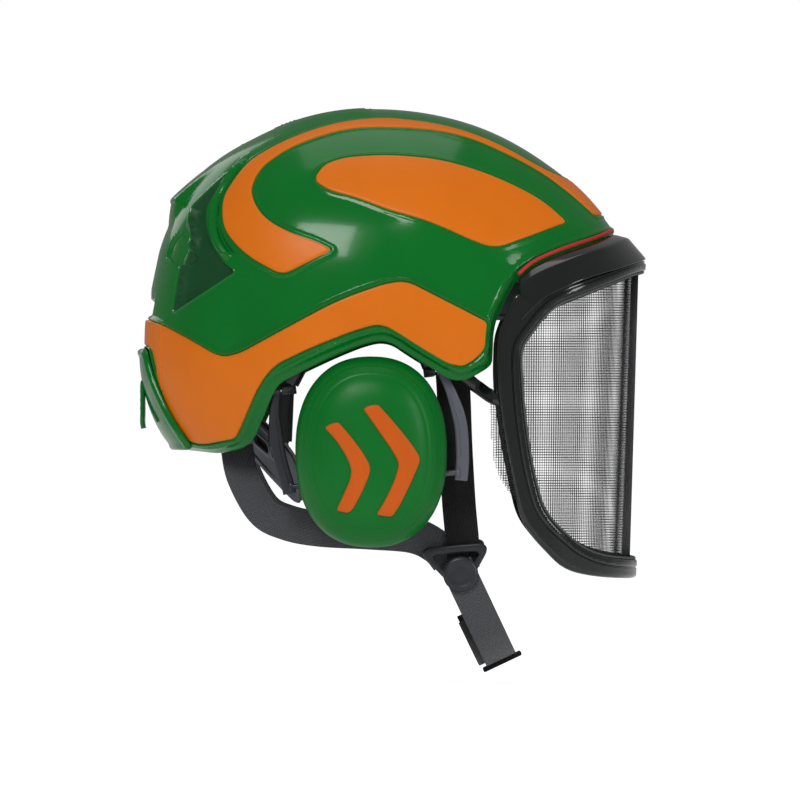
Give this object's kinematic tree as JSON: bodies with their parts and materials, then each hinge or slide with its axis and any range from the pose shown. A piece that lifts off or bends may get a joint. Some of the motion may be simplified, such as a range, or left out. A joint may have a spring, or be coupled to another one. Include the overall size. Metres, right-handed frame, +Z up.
{
  "type": "forestry helmet",
  "caption": "forestry helmet with mesh visor, swing-out ear cups, adjustable nape cradle and chin harness",
  "frame": {"origin": "centre of the wearer's head at the level of the headband", "axes": "+X is where the wearer looks, +Z is up, -Y is the wearer's right"},
  "size_m": [0.3148, 0.2548, 0.3506],
  "materials": {
    "black_gloss": "glossy",
    "dark_plastic": "fine matt",
    "foam": "matt foam",
    "gauze": "fine wire mesh",
    "green": "glossy moulded plastic",
    "grey_plastic": "fine matt",
    "orange": "semi-gloss moulded plastic",
    "padding": "smooth padded cover",
    "red_rubber": "soft matt",
    "steel": "bright",
    "webbing_black": "woven",
    "webbing_grey": "woven"
  },
  "bodies": {
    "helmet": {"outer_shell": "green", "liner": "foam", "crescent_right": "orange", "crescent_left": "orange", "side_band_right": "orange", "side_band_left": "orange", "side_panel_right": "orange", "side_panel_left": "orange", "headband": "dark_plastic", "crown_pad": "padding", "rear_bracket": "green", "rear_strap_right": "webbing_grey", "rear_strap_left": "webbing_grey", "sweatband": "padding", "strap_divider_right": "dark_plastic", "strap_divider_left": "dark_plastic", "visor_pivot_right": "dark_plastic", "visor_pivot_left": "dark_plastic", "ear_mount_right": "dark_plastic", "ear_mount_left": "dark_plastic", "front_strap_right": "webbing_black", "front_strap_left": "webbing_black", "divider_disc_right": "grey_plastic", "divider_disc_left": "grey_plastic", "cradle_arm_right": "dark_plastic", "cradle_arm_left": "dark_plastic", "strap_clip": "green"},
    "vent": {"vent_slider": "green"},
    "visor": {"visor_frame": "black_gloss", "visor_gauze": "gauze", "visor_seal": "red_rubber", "visor_arm_right": "black_gloss", "visor_arm_left": "black_gloss"},
    "nape": {"nape_cradle": "grey_plastic", "nape_pad": "padding", "ratchet_housing": "dark_plastic"},
    "knob": {"size_knob": "dark_plastic"},
    "chin": {"chin_strap": "webbing_grey", "chin_lining": "webbing_black", "chin_keeper": "webbing_black"},
    "ear_carrier_right": {"ear_carrier_right": "dark_plastic", "swing_pin_rear_right": "steel", "swing_pin_front_right": "steel"},
    "ear_fork_right": {"ear_leg_rear_right": "dark_plastic", "ear_leg_front_right": "grey_plastic"},
    "ear_cup_right": {"ear_cup_right": "green", "chevron_small_right": "orange", "chevron_large_right": "orange", "ear_cushion_right": "padding", "ear_foam_right": "foam"},
    "ear_carrier_left": {"ear_carrier_left": "dark_plastic", "swing_pin_rear_left": "steel", "swing_pin_front_left": "steel"},
    "ear_fork_left": {"ear_leg_rear_left": "dark_plastic", "ear_leg_front_left": "grey_plastic"},
    "ear_cup_left": {"ear_cup_left": "green", "chevron_small_left": "orange", "chevron_large_left": "orange", "ear_cushion_left": "padding", "ear_foam_left": "foam"}
  },
  "joints": [
    {"name": "vent_slide", "type": "hinge", "parent": "helmet", "child": "vent", "pos_m": [-0.0093, 0, -0.02], "axis": [0, -1, 0], "range_deg": [0, 6]},
    {"name": "visor_lift", "type": "hinge", "parent": "helmet", "child": "visor", "pos_m": [0.0093, 0, 0], "axis": [0, -1, 0], "range_deg": [0, 50]},
    {"name": "nape_slide", "type": "slide", "parent": "helmet", "child": "nape", "axis": [1, 0, 0], "range_m": [0, 0.008]},
    {"name": "knob_turn", "type": "hinge", "parent": "nape", "child": "knob", "pos_m": [-0.115, 0, -0.076], "axis": [1, 0, 0], "range_deg": [0, 240]},
    {"name": "chin_swing", "type": "hinge", "parent": "helmet", "child": "chin", "pos_m": [0.0463, 0, -0.1682], "axis": [0, -1, 0], "range_deg": [-20, 20]},
    {"name": "ear_turn_right", "type": "hinge", "parent": "helmet", "child": "ear_carrier_right", "pos_m": [-0.004, -0.091, -0.012], "axis": [0, 1, 0], "range_deg": [-3.5, 0]},
    {"name": "ear_swing_right", "type": "hinge", "parent": "ear_carrier_right", "child": "ear_fork_right", "pos_m": [-0.063, -0.0892, -0.056], "axis": [-0.992, 0.019, -0.1245], "range_deg": [0, 20]},
    {"name": "cup_tilt_right", "type": "hinge", "parent": "ear_fork_right", "child": "ear_cup_right", "pos_m": [-0.0584, -0.0922, -0.115], "axis": [0.9963, 0, 0.0862], "range_deg": [-8, 8]},
    {"name": "ear_turn_left", "type": "hinge", "parent": "helmet", "child": "ear_carrier_left", "pos_m": [-0.004, 0.091, -0.012], "axis": [0, 1, 0], "range_deg": [-3.5, 0]},
    {"name": "ear_swing_left", "type": "hinge", "parent": "ear_carrier_left", "child": "ear_fork_left", "pos_m": [-0.063, 0.0892, -0.056], "axis": [0.992, 0.019, 0.1245], "range_deg": [0, 20]},
    {"name": "cup_tilt_left", "type": "hinge", "parent": "ear_fork_left", "child": "ear_cup_left", "pos_m": [-0.0584, 0.0922, -0.115], "axis": [0.9963, 0, 0.0862], "range_deg": [-8, 8]}
  ],
  "couplings": [
    {"joint": "knob_turn", "follows": "nape_slide", "rad_per_m": 523.6}
  ]
}
